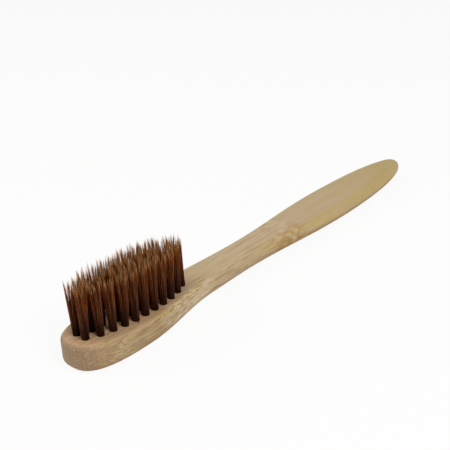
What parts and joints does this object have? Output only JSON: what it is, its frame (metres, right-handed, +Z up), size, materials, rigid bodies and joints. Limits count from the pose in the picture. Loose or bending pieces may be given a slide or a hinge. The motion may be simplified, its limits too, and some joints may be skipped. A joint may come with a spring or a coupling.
{
  "type": "seam cleaning brush",
  "caption": "Hand brush with a slim bamboo body, oval head, narrow neck and wide tapering grip, and rows of brown filament tufts held in drilled holes.",
  "frame": {"origin": "middle of the brush's length and width, on the flat back that it rests on", "axes": "+X runs along the brush from the head to the tail, +Y across its width, +Z up out of the head along the tufts"},
  "size_m": [0.18, 0.0202, 0.0258],
  "materials": {
    "bamboo": "sanded, bare or lightly oiled",
    "brown_filament": "soft satin filament"
  },
  "bodies": {
    "root": {"bamboo_body": "bamboo", "tuft_01_1": "brown_filament", "tuft_01_2": "brown_filament", "tuft_02_1": "brown_filament", "tuft_02_2": "brown_filament", "tuft_02_3": "brown_filament", "tuft_03_1": "brown_filament", "tuft_03_2": "brown_filament", "tuft_03_3": "brown_filament", "tuft_04_1": "brown_filament", "tuft_04_2": "brown_filament", "tuft_04_3": "brown_filament", "tuft_04_4": "brown_filament", "tuft_05_1": "brown_filament", "tuft_05_2": "brown_filament", "tuft_05_3": "brown_filament", "tuft_05_4": "brown_filament", "tuft_06_1": "brown_filament", "tuft_06_2": "brown_filament", "tuft_06_3": "brown_filament", "tuft_06_4": "brown_filament", "tuft_07_1": "brown_filament", "tuft_07_2": "brown_filament", "tuft_07_3": "brown_filament", "tuft_07_4": "brown_filament", "tuft_08_1": "brown_filament", "tuft_08_2": "brown_filament", "tuft_08_3": "brown_filament", "tuft_08_4": "brown_filament", "tuft_09_1": "brown_filament", "tuft_09_2": "brown_filament", "tuft_09_3": "brown_filament", "tuft_10_1": "brown_filament", "tuft_10_2": "brown_filament", "tuft_10_3": "brown_filament", "tuft_11_1": "brown_filament", "tuft_11_2": "brown_filament"}
  },
  "joints": []
}
